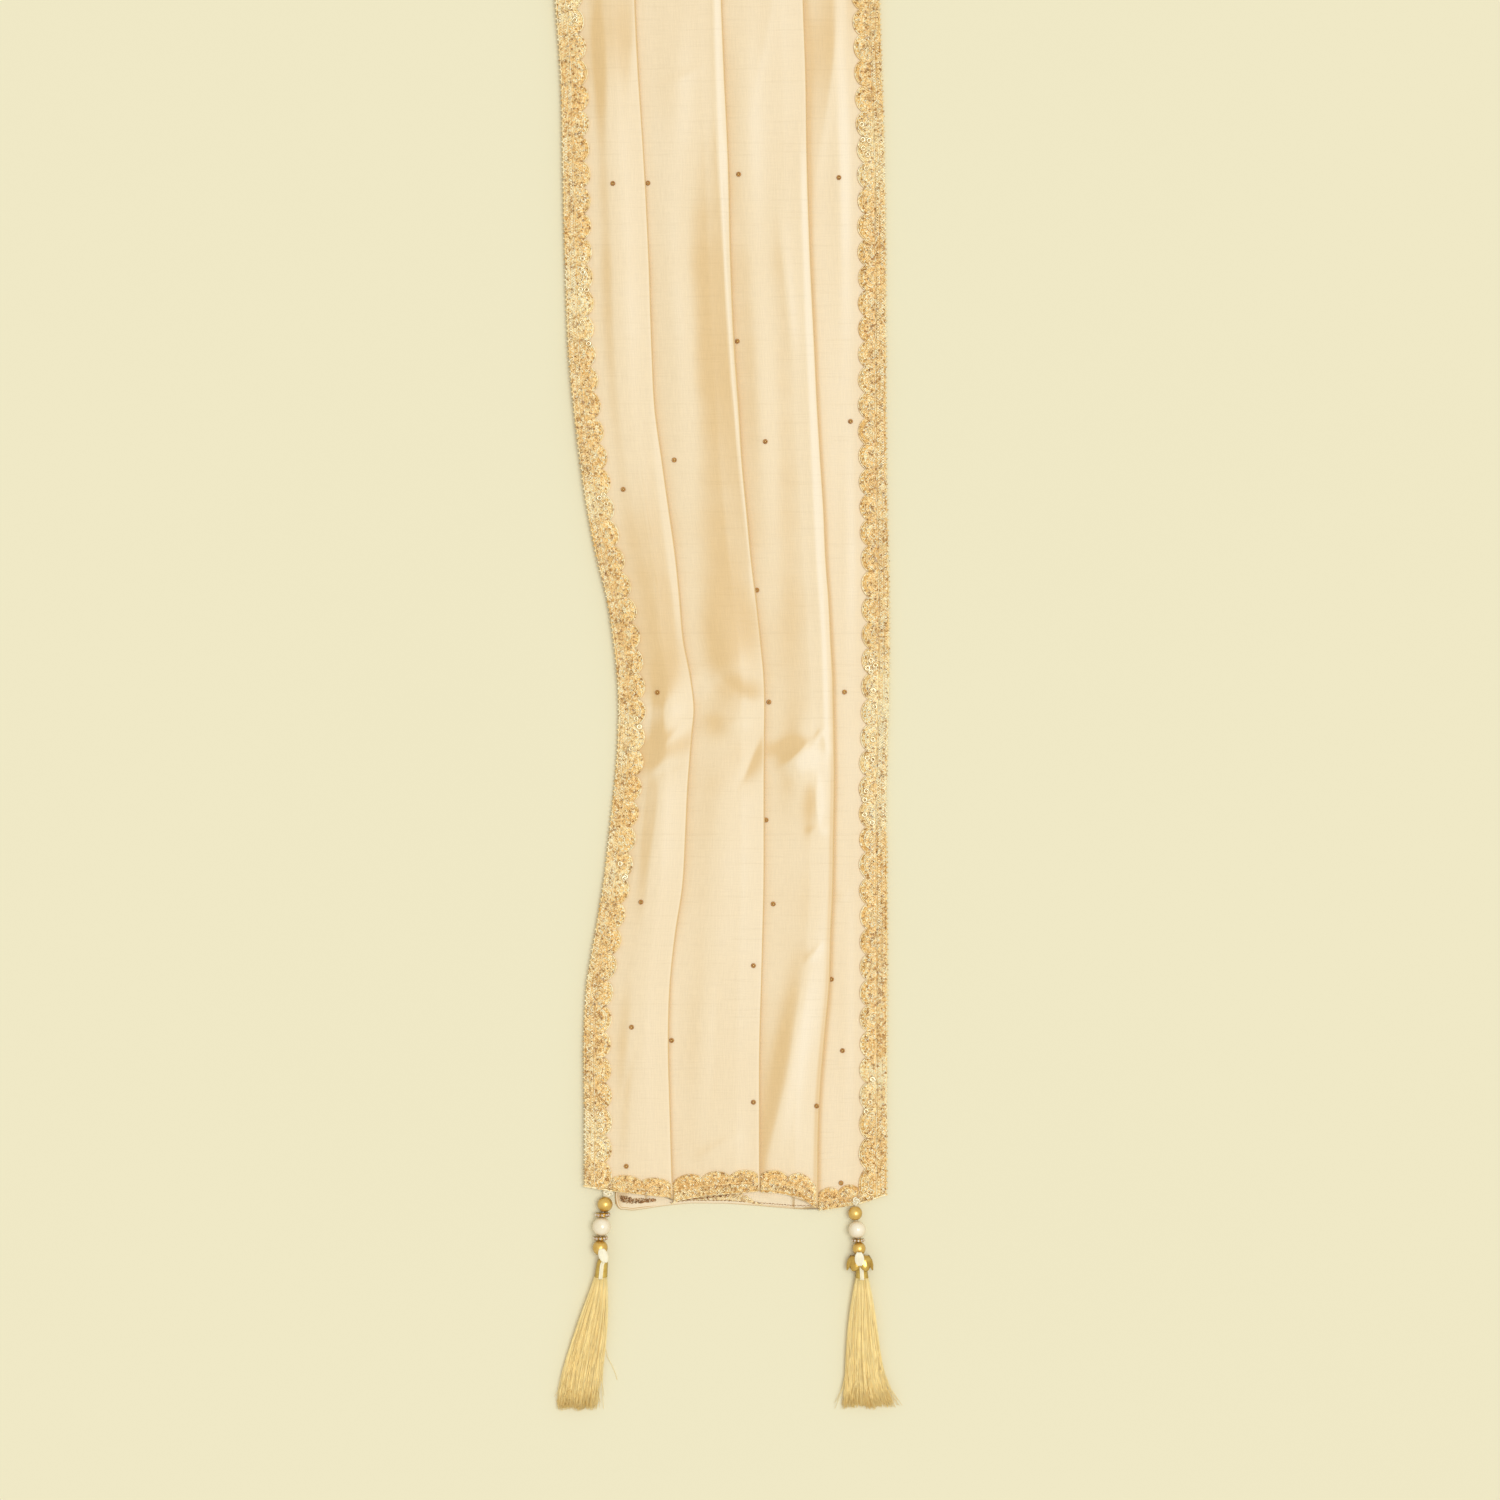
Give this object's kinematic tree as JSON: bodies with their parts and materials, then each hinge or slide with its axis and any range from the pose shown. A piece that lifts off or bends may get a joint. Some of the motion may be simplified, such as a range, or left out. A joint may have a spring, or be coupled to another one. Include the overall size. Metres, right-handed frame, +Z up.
{
  "type": "dupatta stole",
  "caption": "Long pale gold silk dupatta stole folded into knife pleats and laid flat, with scalloped metallic lace borders and beaded corner tassels.",
  "frame": {"origin": "middle of the underside's bounding box, on the surface that the stole lies on", "axes": "+Y along the stole from its tasselled near hem to its far hem, +X from the top pleat to the lowest one, +Z up"},
  "size_m": [0.2051, 2.1349, 0.0113],
  "materials": {
    "silk": "pale gold-cream silk with a soft sheen and fine slubs",
    "lace": "gold metallic thread lace, sparkling",
    "tassel_silk": "glossy yellow-gold silk thread",
    "gold_bead": "polished gold",
    "white_pearl": "pearl",
    "crystal": "faceted crystal in a gold setting"
  },
  "bodies": {
    "root": {"pleat_1": "silk", "pleat_2": "silk", "pleat_3": "silk", "pleat_4": "silk", "hidden_layers": "silk", "lace_left": "lace", "lace_right": "lace", "hem_lace_1": "lace", "hem_lace_2": "lace", "hem_lace_3": "lace", "hem_lace_4": "lace", "far_lace_1": "lace", "far_lace_2": "lace", "far_lace_3": "lace", "far_lace_4": "lace", "left_knot": "tassel_silk", "right_knot": "tassel_silk", "left_loop": "tassel_silk", "right_loop": "tassel_silk", "left_tassel": "tassel_silk", "right_tassel": "tassel_silk", "left_gold_pearl_1": "gold_bead", "left_gold_pearl_2": "gold_bead", "right_gold_pearl_1": "gold_bead", "right_gold_pearl_2": "gold_bead", "right_bell_cap": "gold_bead", "left_white_pearl": "white_pearl", "right_white_pearl": "white_pearl", "left_rondelle_1": "crystal", "left_rondelle_2": "crystal", "right_rondelle": "crystal"}
  },
  "joints": []
}
